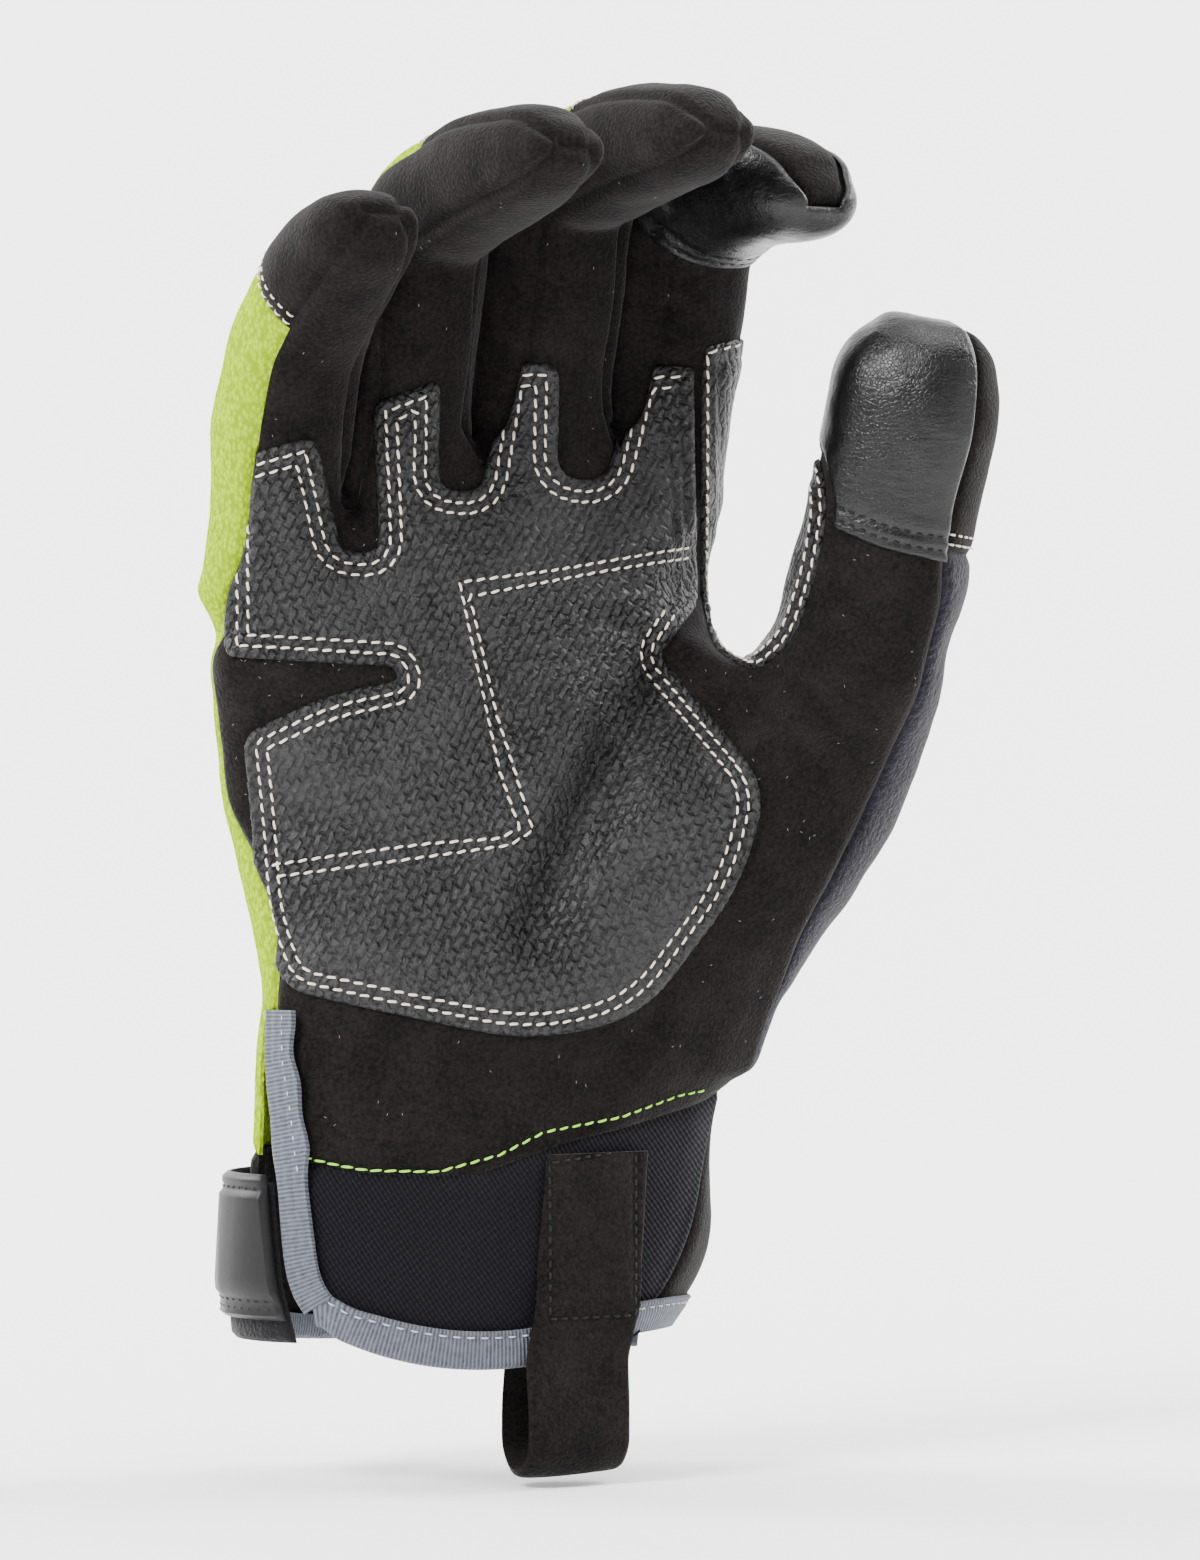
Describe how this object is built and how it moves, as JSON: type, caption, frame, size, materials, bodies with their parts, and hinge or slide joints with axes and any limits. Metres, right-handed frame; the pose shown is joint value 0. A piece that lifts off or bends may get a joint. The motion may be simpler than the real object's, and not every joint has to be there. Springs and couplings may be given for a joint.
{
  "type": "mechanic glove",
  "caption": "Right-hand work glove in worn form, with suede palm, grip patch, stretch back, leather fingertips, pull loop and wrist strap.",
  "frame": {"origin": "centre of the wrist opening at the hem of the cuff, where the wrist goes in", "axes": "+Z from the cuff to the fingers, the palm looks along -Y, the thumb is on the +X side"},
  "size_m": [0.142, 0.0953, 0.2453],
  "materials": {
    "suede": "soft black synthetic suede",
    "hivis": "high-visibility yellow stretch knit",
    "terry": "dark navy terry fleece",
    "knit": "dark elastic rib knit",
    "grip": "embossed basket-weave grip material",
    "leather": "smooth black leather",
    "binding": "grey woven binding tape",
    "rubber": "moulded dark grey rubber",
    "fleece": "black hook-and-loop fleece"
  },
  "bodies": {
    "root": {"palm_panel": "suede", "back_panel": "hivis", "thumb_back_panel": "terry", "fourchette_pinky_ring": "suede", "fourchette_ring_middle": "suede", "fourchette_middle_index": "suede", "finger_cap_pinky": "suede", "finger_cap_ring": "suede", "finger_cap_middle": "suede", "finger_cap_index": "suede", "thumb_cap": "suede", "thumb_tip_patch": "leather", "index_tip_patch": "leather", "palm_patch": "grip", "saddle_patch": "grip", "cuff_front": "knit", "cuff_back": "suede", "hem_binding": "binding", "slit_binding": "binding", "pull_loop": "suede", "strap_base": "fleece", "strap_tab": "rubber", "loop_pad": "fleece"}
  },
  "joints": []
}
